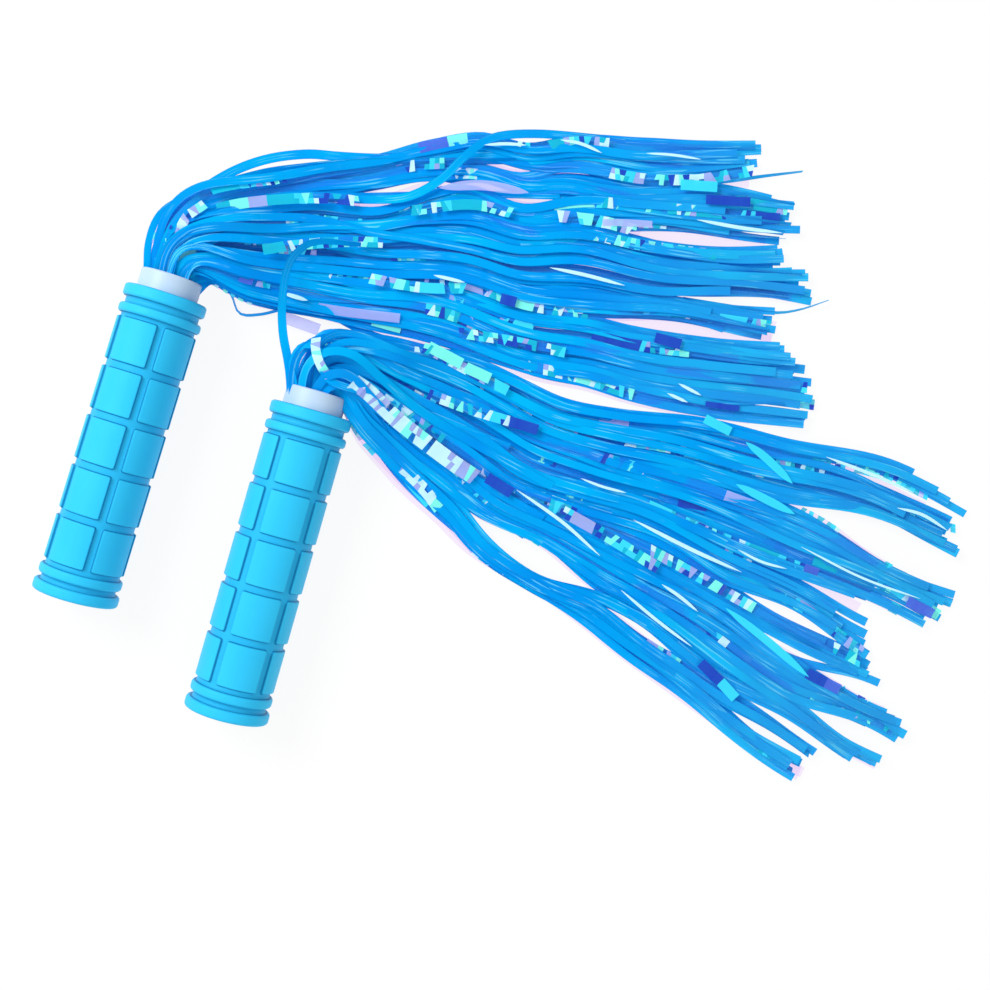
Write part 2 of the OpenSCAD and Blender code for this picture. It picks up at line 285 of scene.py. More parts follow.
# Slivers that narrow to both ends, where a strand turns its edge up, in the same form; the thin WHITE ones are
# painted highlights, pale film laid along the ribbons where light gleams.
SLIVERS = (
    (2, 4, 3.2, CYAN, ((156, 43, 6.5), (166, 41, 6.5), (179, 37, 6.5))),
    (2, 4, 3.2, CYAN, ((160, 27, 6.5), (171, 27, 6.5), (185, 27, 6.5))),
    (2, 2, 3.2, CYAN, ((178, -17, 6.5), (198, -21, 6.5), (218, -26, 6.5))),
    (2, 2, 1.3, WHITE, ((86, -13, 9), (107, -16, 8), (126, -21, 7))),
    (2, 2, 1.0, WHITE, ((106, 2, 7), (115, 3, 7), (124, 5, 7))),
    (2, 2, 1.5, WHITE, ((131, -3, 7), (156, -3, 6.5), (177, -2, 6.5))),
    (2, 3, 1.0, WHITE, ((172, 5, 6.5), (182, 5, 6.5), (192, 7, 6))),
    (2, 3, 0.9, WHITE, ((193, 17, 6), (219, 17, 6), (243, 20, 5.5))),
    (2, 2, 1.3, WHITE, ((152, -20, 6.5), (160, -21, 6.5), (169, -23, 6.5))),
    (2, 1, 1.2, WHITE, ((139, -29, 6.5), (156, -33, 6.5), (173, -36, 6.5))),
    (2, 4, 1.2, WHITE, ((219, 47, 6), (229, 49, 6), (240, 48, 6))),
    (2, 4, 1.3, WHITE, ((186, 52, 6), (205, 54, 6), (222, 55, 6))),
    (1, 4, 1.2, WHITE, ((139, 49, 6.5), (147, 48, 6.5), (155, 45, 6.5))),
    (1, 4, 1.0, WHITE, ((172, 46, 6.5), (182, 46, 6.5), (193, 45, 6.5))),
    (1, 4, 1.2, WHITE, ((110, 45, 7), (118, 46, 7), (126, 46, 7))),
    (1, 3, 1.4, WHITE, ((193, 22, 6), (210, 20, 6), (226, 19, 6))),
    (1, 2, 1.4, WHITE, ((138, 0, 6.5), (152, -2, 6.5), (167, -5, 6.5))),
    (1, 1, 1.2, WHITE, ((186, -45, 6), (194, -48, 6))),
    (1, 1, 1.2, WHITE, ((190, -41, 6), (199, -45, 6))),
    (1, 2, 1.3, WHITE, ((94, -6, 8), (106, -8, 8))),
    (1, 3, 3.8, LILAC, ((94, 27.5, 7.5), (110, 29.5, 7.5), (128, 28, 7))),
    (1, 1, 1.6, WHITE, ((38, -17, 11), (47, -19, 10))),
)
# How much a sliver narrows at its ends, and how late along it that happens
SLIVER_NARROW = 0.94
SLIVER_POINT = 3.5


def smoothstep(x):
    x = np.clip(x, 0.0, 1.0)
    return x * x * (3 - 2 * x)


def curve_through(points, at):
    """Smooth curve through a few (position, value) points, at one or many positions."""
    xs, ys = np.array(points, float).T
    slopes = np.gradient(ys, xs)
    at = np.clip(np.asarray(at, float), xs[0], xs[-1])
    i = np.clip(np.searchsorted(xs, at) - 1, 0, len(xs) - 2)
    h = xs[i + 1] - xs[i]
    t = (at - xs[i]) / h
    return ((2 * t**3 - 3 * t**2 + 1) * ys[i] + (t**3 - 2 * t**2 + t) * h * slopes[i]
            + (3 * t**2 - 2 * t**3) * ys[i + 1] + (t**3 - t**2) * h * slopes[i + 1])


def bezier(p0, p1, p2, p3, count):
    """Points of a cubic curve, without its first point."""
    t = np.linspace(0, 1, count + 1)[1:, None]
    return (1 - t)**3 * p0 + 3 * (1 - t)**2 * t * p1 + 3 * (1 - t) * t**2 * p2 + t**3 * p3


# --- Places taken from the frame ----------------------------------------------------------------
def joint(name):
    return next(j for j in frame["joints"] if j["name"] == name)


class Pom:
    """Where one pom lies: its grip's frame, and its fan's frame about the bend."""

    def __init__(self, number):
        mounts = {m["name"]: m for m in frame["record"]["mounts"]}
        bore = mounts[f"grip_{number}_bore"]
        self.n = number
        self.mouth = np.array(bore["pos_m"]) / MM
        self.along = -np.array(bore["axis"])
        self.side = np.cross(self.along, UP)
        self.bend = np.array(joint(f"tassel_flop_{number}")["pos_m"]) / MM
        lift = np.array(joint(f"lock_lift_{number}_1")["pos_m"]) / MM - self.bend
        curl = np.array(joint(f"tip_curl_{number}_1")["pos_m"]) / MM - self.bend
        self.lift_r = math.hypot(lift[0], lift[1])
        self.curl_r = math.hypot(curl[0], curl[1])
        self.out = np.array([lift[0], lift[1], 0.0]) / self.lift_r
        self.across = np.cross(UP, self.out)

    def in_grip(self, x, y, z):
        return self.mouth + np.multiply.outer(x, self.side) + np.multiply.outer(y, self.along) \
            + np.multiply.outer(z, UP)

    def in_fan(self, r, c, z):
        plan = self.bend * (1, 1, 0)
        return plan + np.multiply.outer(r, self.out) + np.multiply.outer(c, self.across) \
            + np.multiply.outer(z, UP)


# --- Meshes -------------------------------------------------------------------------------------
def new_object(name, verts, faces, smooth=None):
    mesh = bpy.data.meshes.new(name)
    mesh.from_pydata((np.asarray(verts) * MM).tolist(), [], faces)
    mesh.polygons.foreach_set("use_smooth", smooth or [True] * len(faces))
    obj = bpy.data.objects.new(name, mesh)
    bpy.context.scene.collection.objects.link(obj)
    return obj


def add_values(obj, name, values, domain="POINT"):
    attribute = obj.data.attributes.new(name, "FLOAT", domain)
    attribute.data.foreach_set("value", np.asarray(values, np.float32))


class Strips:
    """Thin closed strips gathered into one mesh, with values that the materials read."""

    def __init__(self, across):
        self.across = across
        self.verts, self.faces, self.smooth = [], [], []
        self.strand, self.side, self.run, self.facet = [], [], [], []

    def add(self, line, start, end):
        """The part of a line from one station to another: a ring of points at each station."""
        first = sum(len(v) for v in self.verts)
        span = slice(start, end + 1)
        x = np.linspace(-1, 1, self.across)
        dome = line.curl[span][:, None] * (BOW_MIDDLE - x**2)
        along = np.cross(line.width[span], line.normal[span])
        slant = line.skew[span][:, None] * x
        rings = []
        for sign, order in ((1, slice(None)), (-1, slice(None, None, -1))):
            lift = dome + sign * STRAND_T / 2
            row = (line.points[span][:, None]
                   + (line.half[span][:, None] * x)[..., None] * line.width[span][:, None]
                   + slant[..., None] * along[:, None]
                   + lift[..., None] * line.normal[span][:, None])
            rings.append(row[:, order])
        ring = np.concatenate(rings, axis=1)
        below = TABLE_Z + FLOOR_GAP - ring[..., 2].min(axis=1)
        ring[..., 2] += np.maximum(below, 0)[:, None]
        stations, size = ring.shape[:2]
        self.verts.append(ring.reshape(-1, 3))
        for s in range(stations - 1):
            a, b = first + s * size, first + (s + 1) * size
            for k in range(size):
                k2 = (k + 1) % size
                half = 0 if min(k, size - 2 - k) < self.across // 2 else 1
                self.faces.append((a + k, a + k2, b + k2, b + k))
                self.facet.append(line.facets[start + s, half])
                self.smooth.append(line.smooth)
        last = first + (stations - 1) * size
        for k in range(self.across - 1):
            opposite = size - 1 - k
            self.faces.append((first + k, first + opposite, first + opposite - 1, first + k + 1))
            self.faces.append((last + k, last + k + 1, last + opposite - 1, last + opposite))
            self.facet += [line.facets[start, 0], line.facets[end, 0]]
            self.smooth += [False, False]
        self.strand.append(np.full(stations * size, line.id))
        self.side.append(np.tile(np.concatenate([np.abs(x), np.abs(x)]), stations))
        self.run.append(np.repeat(line.distance[span] / 10, size))

    def build(self, name):
        obj = new_object(name, np.concatenate(self.verts), self.faces, self.smooth)
        obj.data.set_sharp_from_angle(angle=SHARP_ANGLE)
        add_values(obj, "strand", np.concatenate(self.strand))
        add_values(obj, "side", np.concatenate(self.side))
        add_values(obj, "run", np.concatenate(self.run))
        add_values(obj, "facet", self.facet, "FACE")
        return obj


# --- The grip -----------------------------------------------------------------------------------
def ring_bulge(y, start, end, radius):
    """Height of a soft-edged ring over the core at length y, below zero outside it."""
    into = min(y - start, end - y)
    if into < 0:
        return -1.0
    drop = RING_EDGE - math.sqrt(max(RING_EDGE**2 - max(RING_EDGE - into, 0.0)**2, 0.0))
    return radius - CORE_R - drop


def pad_height(y, arc):
    """Share of a pad's height that is left at length y, and at an arc from its column's middle."""
    pitch = (PADS[1] - PADS[0] + GROOVE_W) / PAD_ROWS
    row = min(max((y - PADS[0]) // pitch, 0), PAD_ROWS - 1)
    half_y = (pitch - GROOVE_W) / 2
    half_x = math.pi * PAD_R / PAD_COLS - GROOVE_W / 2
    dy = abs(y - PADS[0] - row * pitch - half_y) - half_y + PAD_CORNER
    dx = abs(arc) - half_x + PAD_CORNER
    outside = math.hypot(max(dx, 0), max(dy, 0)) + min(max(dx, dy), 0) - PAD_CORNER
    return float(smoothstep(-outside / PAD_EDGE))


def grip_lengths():
    """Stations along the grip, close together where an edge runs round it."""
    pitch = (PADS[1] - PADS[0] + GROOVE_W) / PAD_ROWS
    edges = []
    for start, end in (FLANGE, LOW_RING, HIGH_RING, TOP_RING):
        edges += [(start, 1), (end, -1)]
    for row in range(PAD_ROWS):
        edges += [(PADS[0] + row * pitch, 1), (PADS[0] + (row + 1) * pitch - GROOVE_W, -1)]
    ys = {round(edge + inward * step, 3) for edge, inward in edges for step in EDGE_STEPS}
    ys |= {round(PADS[0] + row * pitch + f * (pitch - GROOVE_W), 3)
           for row in range(PAD_ROWS) for f in np.linspace(0.1, 0.9, PAD_STATIONS)}
    return [y for y in sorted(ys) if 0.0 < y < TOP_RING[1]]


def grip_angles(turn):
    """Angles round the grip, close together at the lengthwise grooves."""
    column = 2 * math.pi / PAD_COLS
    half_groove = GROOVE_W / 2 / PAD_R
    part = [0.0] + [half_groove + step / PAD_R for step in GROOVE_STEPS]
    part += list(np.linspace(part[-1], column / 2, 8)[1:])
    whole = part + [column - a for a in reversed(part[1:-1])]
    return [math.radians(turn) + k * column + a for k in range(PAD_COLS) for a in whole]


def build_grip(pom):
    angles = grip_angles(GROOVE_TURN[pom.n])
    column = 2 * math.pi / PAD_COLS
    arcs = [((a - math.radians(GROOVE_TURN[pom.n])) % column - column / 2) * PAD_R for a in angles]
    rings = ((*FLANGE, FLANGE_R), (*LOW_RING, RING_R), (*HIGH_RING, RING_R), (*TOP_RING, RING_R))
    loops, depth = [], []
    for y in grip_lengths():
        bulge = max(ring_bulge(y, *ring) for ring in rings)
        if bulge >= 0:
            heights = [bulge] * len(angles)
        elif PADS[0] <= y <= PADS[1]:
            heights = [(PAD_R - CORE_R) * pad_height(y, arc) for arc in arcs]
        else:
            heights = [0.0] * len(angles)
        loops.append((y, [CORE_R + h for h in heights]))
        depth.append([1 - min(h / (PAD_R - CORE_R), 1.0) for h in heights])
    length = TOP_RING[1]
    inner = (
        (length, RING_R - RING_EDGE), (length, SEAT_R + SEAT_CHAMFER),
        (length - SEAT_CHAMFER, SEAT_R), (BORE_DEPTH, SEAT_R), (BORE_DEPTH, BORE_R),
        (length * 0.4, BORE_R), (MOUTH_CHAMFER, BORE_R), (0.0, BORE_R + MOUTH_CHAMFER),
        (0.0, FLANGE_R - RING_EDGE),
    )
    for y, r in inner:
        loops.append((y, [r] * len(angles)))
        depth.append([0.0] * len(angles))
    verts = np.array([
        pom.in_grip(r * math.sin(a), y, r * math.cos(a))
        for y, radii in loops for a, r in zip(angles, radii)
    ])
    size = len(angles)
    faces = []
    for i in range(len(loops)):
        a, b = i * size, (i + 1) % len(loops) * size
        faces += [(a + k, b + k, b + (k + 1) % size, a + (k + 1) % size) for k in range(size)]
    obj = new_object(f"grip_rubber_{pom.n}", verts, faces)
    # The grooves' depth is kept for the material, which paints shade into the grooves with it.
    add_values(obj, "depth", np.array(depth).ravel())
    return obj


# --- Strand paths -------------------------------------------------------------------------------
def fan_across(pom, share, r, parted=True):
    """Place across the fan of a strand that keeps one share of it, parted where the fan opens."""
    upper = curve_through(FAN_UPPER[pom.n], r)
    lower = curve_through(FAN_LOWER[pom.n], r)
    c = lower + (upper - lower) * (share + 1) / 2
    half = (upper - lower) / 2
    for at, start, widest, end, opening in PARTINGS[pom.n] if parted else ():
        rise = smoothstep((r - start) / (widest - start)) * smoothstep((end - r) / (end - widest))
        away = np.abs(share - at) * half
        c = c + np.sign(share - at + 1e-6) * opening / 2 * rise * np.exp(-away / PARTING_FADE)
    return c


def pile_z(r, layer):
    height = PILE_TIP + PILE_NECK * np.exp(-(r - FAN_START) / PILE_FALL)
    return TABLE_Z + PILE_GAP + layer * height


def resample(points, distance, steps):
    """Points along a line at the first spacing near the bend and at the second one farther out."""
    length = np.linalg.norm(np.diff(points, axis=0), axis=1)
    spacing = np.where(distance[1:] < STEP_CHANGE, steps[0], steps[1])
    count = np.concatenate([[0], np.cumsum(length / spacing)])
    at = np.linspace(0, count[-1], max(int(round(count[-1])), 2) + 1)
    return np.stack([np.interp(at, count, points[:, i]) for i in range(3)], axis=1)


def smooth_line(points, per_span=12):
    """Smooth curve through a few points of space."""
    points = np.array(points, float)
    at = np.linspace(0, len(points) - 1, (len(points) - 1) * per_span + 1)
    knots = np.arange(len(points))
    columns = [curve_through(np.stack([knots, points[:, i]], axis=1), at) for i in range(3)]
    return np.stack(columns, axis=1)


class Line:
    """One strand ready to mesh: stations, its width and normal there, and its values."""

    def __init__(self, pom, points, half, ident, steps, smooth=True):
        distance = (points - pom.bend) @ pom.out
        self.points = resample(points, distance, steps)
        self.distance = (self.points - pom.bend) @ pom.out
        self.id = ident
        self.smooth = smooth
        count = len(self.points)
        self.half = np.full(count, float(half))
        self.curl = np.zeros(count)
        self.skew = np.zeros(count)
        self.facets = np.zeros((count, 2))
        self.roll(np.zeros(count))

    def roll(self, angle):
        """Lays the strand flat, then rolls it about its length by an angle at each station."""
        tangent = np.gradient(self.points, axis=0)
        tangent /= np.linalg.norm(tangent, axis=1)[:, None] + 1e-9
        flat = np.cross(np.broadcast_to(UP, tangent.shape), tangent)
        flat /= np.linalg.norm(flat, axis=1)[:, None] + 1e-9
        face = np.cross(tangent, flat)
        cos, sin = np.cos(angle)[:, None], np.sin(angle)[:, None]
        self.width = flat * cos + face * sin
        self.normal = face * cos - flat * sin

    def share_out(self, sets, family, lock):
        """Meshes the line in three parts: in the neck, in its lock and at its lock's tip."""
        last = len(self.points) - 1
        cuts = [0]
        for limit in (FAN_START, MID_END):
            beyond = np.nonzero(self.distance > limit + 0.1)[0]
            cuts.append(max(int(beyond[0]) - 1, 0) if len(beyond) else last)
        cuts.append(last)
        across = 5 if family == "ribbons" else 3
        for part, start, end in zip(("neck", "mid", "end"), cuts[:-1], cuts[1:]):
            if end > start:
                key = (family, part, 0 if part == "neck" else lock)
                sets.setdefault(key, Strips(across)).add(self, start, end)


def cup_points(pom, a, b):
    """A strand's way through the cup, past the tied waist, at place (a, b) across the mouth."""
    ys = np.linspace(CUP_LOW, CUP_MOUTH, 9)
    scale = WAIST_SCALE + (1 - WAIST_SCALE) * smoothstep((ys - WAIST_END) / (CUP_FULL - WAIST_END))
    return pom.in_grip(a * scale, ys, b * scale)


def drift(pom, share, r):
    total = 0.0
    for i, (size, length, turns) in enumerate(DRIFTS):
        turned = 2 * math.pi * (r / length + turns * share / 2)
        total = total + size * np.sin(turned + DRIFT_PHASE * i + pom.n)
    at_edge = abs(share) ** 3
    return total * smoothstep((r - DRIFT_FROM) / DRIFT_OVER) * (1 - 0.8 * at_edge)


def wave(at, rng, lengths):
    """A sine wave of a random length and phase."""
    return np.sin(2 * math.pi * (at / rng.uniform(*lengths) + rng.random()))


def streamer(pom, rng, share, layer, half, steps, smooth, parted=True):
    """One whole strand from the cup to its tip, with its own seeded waves, twist and length."""
    order = -share if rng.random() > TANGLE[pom.n] else rng.uniform(-1, 1)
    a = float(np.clip(0.85 * order + rng.normal(0, ORDER_SPREAD), -0.98, 0.98)) * CUP_REACH
    b = (2 * layer - 1) * math.sqrt(max(CUP_REACH**2 - a**2, 1.0)) * 0.96
    cup = cup_points(pom, a, b)

    slide = rng.normal(0, SLIDE_SPREAD) * (STRAY_TIMES if rng.random() < STRAY_SHARE else 1)
    start_share = float(np.clip(share + slide, -1.0, 1.0))
    reach = float(np.interp(share, *np.transpose(REACH[pom.n]))) + rng.normal(-1, REACH_SPREAD)
    if rng.random() < SHORT_SHARE:
        reach -= rng.uniform(*SHORT_BY)
    r = np.linspace(FAN_START, reach, 90)
    settle = smoothstep((r - SETTLE_FROM) / rng.uniform(*SETTLE_OVER))
    loose = smoothstep((r - 20) / 120)
    now = start_share + (share - start_share) * settle
    c = fan_across(pom, now, r, parted) + drift(pom, share, r)
    c = c + loose * rng.uniform(*SIDE_WAVE) * wave(r, rng, SIDE_WAVE_LENGTH)
    z = pile_z(r, layer)
    z = z + loose * rng.uniform(*UP_WAVE) * (1 + wave(r, rng, UP_WAVE_LENGTH))
    fan = pom.in_fan(r, c, z)

    heading = (fan[1] - fan[0]) / np.linalg.norm(fan[1] - fan[0])
    outer = (start_share + 1) / 2
    rise = rng.uniform(0.75, 1.2) * (1 + TANGLE[pom.n] * (rng.random() < 0.2))
    over = pom.along * (9.0 + 16.0 * outer) - pom.side * (8.0 * outer - 1.5)
    first = cup[-1] + over * rise + UP * 2.0
    second = fan[0] - heading * (11.0 + 7.0 * outer)
    neck = bezier(cup[-1], first, second, fan[0], 24)
    line = Line(pom, np.concatenate([cup, neck, fan[1:]]), half, rng.random(), steps, smooth)

    distance = line.distance
    near = np.exp(-np.clip(distance + 5, 0, None) / 24)
    tip = smoothstep((distance - reach) / TIP_ROLL_OVER + 1)
    sway = math.radians(rng.uniform(*ROLL_WAVE))
    angle = sway * wave(distance, rng, ROLL_WAVE_LENGTH)
    angle = angle + math.radians(rng.normal(0, NECK_ROLL)) * near
    if rng.random() < ROLLED_SHARE:
        angle = angle + math.radians(rng.choice([-1, 1]) * rng.uniform(*TIP_ROLL)) * tip
    line.roll(angle)
    line.half *= 0.85 + 0.15 * smoothstep((distance + 2) / 25)
    line.curl = rng.uniform(*CURL) * rng.choice([1, 1, -1]) * smoothstep((distance - 5) / 40)
    return line


# What the facets of a crinkled run, of a pale crinkled run, and of a single flat can show
CRINKLE_KINDS = (WHITE, WHITE, MINT, MINT, CYAN, CYAN, TEAL, TEAL,
                 LILAC, CLEAR, CLEAR, CLEAR, CLEAR, NAVY)
PALE_KINDS = (WHITE, WHITE, WHITE, WHITE, LILAC, LILAC, MINT, CLEAR)
FLAT_KINDS = (LILAC, MINT, CYAN, TEAL, TEAL, TEAL, NAVY, VIOLET)
# Lengths of clear runs, flats and crinkled runs, in stations
CLEAR_RUN = (10, 30)
FLAT_RUN = (3, 7)
CRINKLED_RUN = (4, 12)
FLAT_SHARE = 0.3
SPLIT_SHARE = 0.45
CLEAR_SHARE = 0.36
SOFT_PUSH = 0.05
HARD_PUSH = 0.4
SLANT = 0.9


def crinkle(line, rng, clear_share, kinds=CRINKLE_KINDS):
    """Folds a film line: clear runs, single long flats, and crinkled runs of small facets."""
    count = len(line.points)
    push = rng.uniform(-SOFT_PUSH, SOFT_PUSH, count)
    values = np.full((count, 2), CLEAR)
    i = 0
    while i < count:
        draw = rng.random()
        if draw < clear_share:
            i += int(rng.integers(*CLEAR_RUN))
        elif draw < clear_share + (1 - clear_share) * FLAT_SHARE and kinds is CRINKLE_KINDS:
            end = i + int(rng.integers(*FLAT_RUN))
            values[i:end] = rng.choice(FLAT_KINDS)
            i = end
        else:
            end = min(i + int(rng.integers(*CRINKLED_RUN)), count)
            values[i:end] = rng.choice(kinds, (end - i, 1))
            split = rng.random(end - i) < SPLIT_SHARE
            values[i:end, 1][split] = rng.choice(kinds, int(split.sum()))
            push[i:end] = rng.uniform(-HARD_PUSH, HARD_PUSH, end - i)
            line.skew[i:end] = rng.uniform(-SLANT, SLANT, end - i)
            i = end
    line.facets = values
    line.points = line.points + line.normal * push[:, None]


def own(pom, table):
    """The entries of a table that are one pom's, without its number."""
    return [entry[1:] for entry in table if entry[0] == pom.n]


def film_line(pom, rng, width, places):
    x, y, z = smooth_line(places).T
    return Line(pom, pom.in_fan(x, y, z + TABLE_Z), width / 2, rng.random(), FILM_STEP, False)


def add_loose(pom, rng, sets):
    """The strands and film strips that have places of their own."""
    for kind, lock, width, (roll_start, roll_end), places in own(pom, LOOSE):
        x, y, z = smooth_line(places).T
        place = pom.in_grip if kind == "grip" else pom.in_fan
        points = place(x, y, z + TABLE_Z)
        line = Line(pom, points, RIBBON_W / 2 * width, rng.random(), RIBBON_STEP)
        share = np.linspace(0, 1, len(line.points))
        line.roll(np.radians(roll_start + (roll_end - roll_start) * share))
        line.share_out(sets, "ribbons", lock)
    for lock, width, pale, places in own(pom, CRINKLED):
        line = film_line(pom, rng, width, places)
        crinkle(line, rng, 0.0, PALE_KINDS if pale else CRINKLE_KINDS)
        line.share_out(sets, "film", lock)
    for table, narrow in ((FLATS, 0.0), (SLIVERS, SLIVER_NARROW)):
        for lock, width, shown, places in own(pom, table):
            line = film_line(pom, rng, width, places)
            line.facets[:] = shown
            from_middle = np.abs(np.linspace(-1, 1, len(line.half)))
            line.half *= 1 - narrow * from_middle ** SLIVER_POINT
            line.share_out(sets, "film", lock)


def build_streamers(pom):
    rng = np.random.default_rng(SEED + pom.n)
    kinds = (("ribbons", RIBBONS_PER_LOCK), ("film", FILMS_PER_LOCK))
    total = sum(count for _, count in kinds) * len(LOCKS)
    layers = iter(rng.permutation(total) / (total - 1))
    sets = {}
    for lock in LOCKS:
        low = -1 + 0.5 * (lock - 1)
        for kind, count in kinds:
            for i in range(count):
                share = low + 0.5 * (i + rng.uniform(0.1, 0.9)) / count
                layer = float(next(layers))
                if kind == "ribbons":
                    half = RIBBON_W / 2 * rng.uniform(0.88, 1.08)
                    line = streamer(pom, rng, share, layer, half, RIBBON_STEP, True)
                    line.share_out(sets, "ribbons", lock)
                else:
                    layer = 0.25 + 0.7 * layer
                    line = streamer(pom, rng, share, layer, FILM_W / 2, FILM_STEP, False)
                    line.curl[:] = 0.0
                    crinkle(line, rng, CLEAR_SHARE)
                    line.share_out(sets, "film", lock)
    for share in CLEAR_AT[pom.n]:
        layer = rng.uniform(0, 0.1)
        line = streamer(pom, rng, share, layer, CLEAR_W / 2, FILM_STEP, False, False)
        line.curl[:] = 0.0
        line.facets[:] = CLEAR
        line.share_out(sets, "film", int((share + 1) * 2) + 1)
    add_loose(pom, rng, sets)
    return {key: strips.build("_".join(str(k) for k in key if k) + f"_{pom.n}")
            for key, strips in sets.items()}


# --- Materials ----------------------------------------------------------------------------------
class Nodes:
    """A material's node tree, with short calls for the nodes used here."""

    def __init__(self, name):
        self.material = bpy.data.materials.new(name)
        self.material.use_nodes = True
        self.tree = self.material.node_tree
        self.tree.nodes.clear()
        self.output = self.tree.nodes.new("ShaderNodeOutputMaterial")

    def node(self, kind, inputs=None, **settings):
        node = self.tree.nodes.new("ShaderNode" + kind)
        for key, value in settings.items():
            setattr(node, key, value)
        for key, value in (inputs or {}).items():
            self.set(node.inputs[key], value)
        return node

    def set(self, socket, value):
        if isinstance(value, bpy.types.NodeSocket):
            self.tree.links.new(value, socket)
        elif isinstance(value, bpy.types.Node):
            self.tree.links.new(value.outputs[0], socket)
        else:
            socket.default_value = value

    def value(self, name):
        return self.node("Attribute", attribute_name=name).outputs["Fac"]

    def math(self, operation, a, b=0.0, clamp=False):
        return self.node("Math", {0: a, 1: b}, operation=operation, use_clamp=clamp).outputs[0]

    def mix(self, factor, a, b):
        node = self.node("Mix", data_type="RGBA")
        self.set(node.inputs["Factor"], factor)
        self.set(node.inputs["A"], a)
        self.set(node.inputs["B"], b)
        return node.outputs["Result"]

    def ramp(self, factor, stops, constant=False):
        node = self.node("ValToRGB", {0: factor})
        node.color_ramp.interpolation = "CONSTANT" if constant else "LINEAR"
        elements = node.color_ramp.elements
        while len(elements) < len(stops):
            elements.new(0.5)
        for element, (position, colour) in zip(elements, stops):
            element.position = position
            element.color = colour
        return node.outputs["Color"]

    def noise(self, scale, detail=2.0, vector=None):
        node = self.node("TexNoise", {"Scale": scale, "Detail": detail})
        if vector is not None:
            self.set(node.inputs["Vector"], vector)
        return node.outputs["Fac"]

    def bump(self, height, strength, distance):
        return self.node("Bump", {"Height": height, "Strength": strength, "Distance": distance})

    def place(self):
        return self.node("TexCoord").outputs["Object"]

    def finish(self, shader):
        self.set(self.output.inputs["Surface"], shader)
        return self.material


def srgb(red, green, blue):
    def linear(value):
        value /= 255
        return value / 12.92 if value <= 0.04045 else ((value + 0.055) / 1.055) ** 2.4
    return (linear(red), linear(green), linear(blue), 1.0)


def rubber_material():
    n = Nodes("grip_rubber")
    cloud = n.noise(60.0, 3.0, n.place())
    skin = n.mix(n.math("MULTIPLY", cloud, 0.5), srgb(50, 194, 239), srgb(26, 174, 232))
    # Painted shade: the groove floors are darkened by their depth, and a darker line is painted along the groove
    # walls, where shade falls.
    depth = n.value("depth")
    groove_wall_shade = n.math("MULTIPLY", n.math("MULTIPLY", depth, n.math("SUBTRACT", 1.0, depth)), 4.0)
    floor = n.mix(n.math("MULTIPLY", depth, 0.3), skin, srgb(10, 140, 205))
    colour = n.mix(n.math("MULTIPLY", groove_wall_shade, 0.8), floor, srgb(0, 96, 150))
    grain = n.noise(2600.0, 2.0, n.place())
    shader = n.node("BsdfPrincipled", {
        "Base Color": colour,
        "Roughness": 0.5,
        "Specular IOR Level": 0.3,
        "Specular Tint": srgb(150, 225, 255),
        "Normal": n.bump(grain, 0.25, 0.0002),
    })
    return n.finish(shader)


# Distance from the bend, in cm, from which a ribbon grows paler, and over which it does
PALE_FROM = 15.0
PALE_OVER = 12.0
RIBBON_COVER = 0.84


def ribbon_material():
    n = Nodes("ribbon_plastic")
    strand, side, run = n.value("strand"), n.value("side"), n.value("run")
    lane = n.math("MULTIPLY", strand, 90.0)
    slow = n.noise(1.0, 2.0, n.node("CombineXYZ", {0: n.math("MULTIPLY", run, 0.22), 1: lane}))
    along, across = n.math("MULTIPLY", run, 0.5), n.math("MULTIPLY", side, 2.2)
    highlight_noise = n.noise(1.0, 3.0, n.node("CombineXYZ", {0: along, 1: lane, 2: across}))
    base = n.mix(strand, srgb(0, 172, 246), srgb(0, 200, 250))
    deep = n.ramp(slow, ((0.35, (0, 0, 0, 1)), (0.65, (1, 1, 1, 1))))
    base = n.mix(deep, base, srgb(0, 154, 240))
    # Painted highlight: thin pale cyan streaks along the ribbons, where light glints on them.
    painted_highlight_mask = n.ramp(highlight_noise, ((0.6, (0, 0, 0, 1)), (0.68, (1, 1, 1, 1))))
    base = n.mix(n.math("MULTIPLY", painted_highlight_mask, 0.6), base, srgb(130, 236, 255))
    # Painted shade: darker lines along each ribbon's edges.
    edge = n.ramp(side, ((0.8, (0, 0, 0, 1)), (0.98, (1, 1, 1, 1))))
    base = n.mix(n.math("MULTIPLY", edge, 0.3), base, srgb(0, 96, 180))
    # towards the tips there are fewer strands, and they look paler and let more light through
    past = n.math("SUBTRACT", run, PALE_FROM)
    pale = n.math("MULTIPLY", past, 1 / PALE_OVER, clamp=True)
    base = n.mix(n.math("MULTIPLY", pale, 0.25), base, srgb(116, 232, 222))
    # The small emission of the ribbons' own colour is painted light that lifts the shade between them; they are no
    # lamp.
    body = n.node("BsdfPrincipled", {
        "Base Color": base,
        "Roughness": n.math("ADD", 0.2, n.math("MULTIPLY", slow, 0.15)),
        "Specular IOR Level": 0.4,
        "Specular Tint": srgb(90, 220, 255),
        "Emission Color": base,
        "Emission Strength": 0.045,
    })
    glow = n.node("BsdfTranslucent", {"Color": base})
    solid = n.node("MixShader", {0: 0.14, 1: body, 2: glow})
    through = n.node("BsdfTransparent", {"Color": srgb(40, 215, 248)})
    cover = n.math("SUBTRACT", RIBBON_COVER, n.math("MULTIPLY", pale, 0.24))
    shader = n.node("MixShader", {0: cover, 1: through, 2: solid})
    return n.finish(shader)


# Film by facet value, from CLEAR to VIOLET: where each look starts, its colour, and its cover
FILM_LOOKS = (
    (0.0, srgb(150, 220, 255), 0.02),
    (0.1, srgb(206, 208, 250), 0.5),
    (0.25, srgb(222, 254, 255), 0.85),
    (0.42, srgb(140, 255, 236), 0.9),
    (0.58, srgb(60, 232, 252), 0.85),
    (0.72, srgb(0, 208, 226), 0.7),
    (0.84, srgb(18, 34, 196), 0.9),
    (0.92, srgb(90, 104, 226), 0.7),
)


